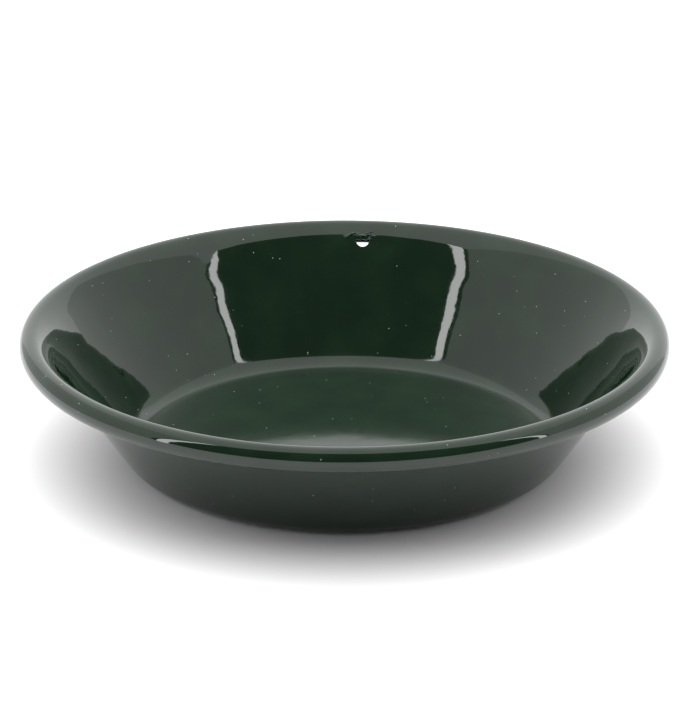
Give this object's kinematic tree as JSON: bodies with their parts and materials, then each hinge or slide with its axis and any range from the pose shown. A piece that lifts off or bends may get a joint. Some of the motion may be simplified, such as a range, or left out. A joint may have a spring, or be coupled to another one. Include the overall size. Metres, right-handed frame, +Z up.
{
  "type": "gold pan",
  "caption": "Shallow round pan of enamelled steel with a domed floor, sloping wall flared to a hollow rolled rim, and a hanging hole in the flare.",
  "frame": {"origin": "on the pan's axis, at the surface it stands on", "axes": "+Z up along the pan's axis, out of its mouth; +Y towards the back, where the hanging hole is; +X to the right"},
  "size_m": [0.26, 0.26, 0.053],
  "materials": {
    "steel": "low-carbon sheet, pickled and dull",
    "ground_enamel": "blue-black cobalt ground coat, fired gloss",
    "green_enamel": "deep green cover coat, fired gloss with slight orange peel"
  },
  "bodies": {
    "root": {"steel_pan": "steel", "ground_coat_inside": "ground_enamel", "ground_coat_outside": "ground_enamel", "cover_coat_inside": "green_enamel", "cover_coat_outside": "green_enamel"}
  },
  "joints": []
}
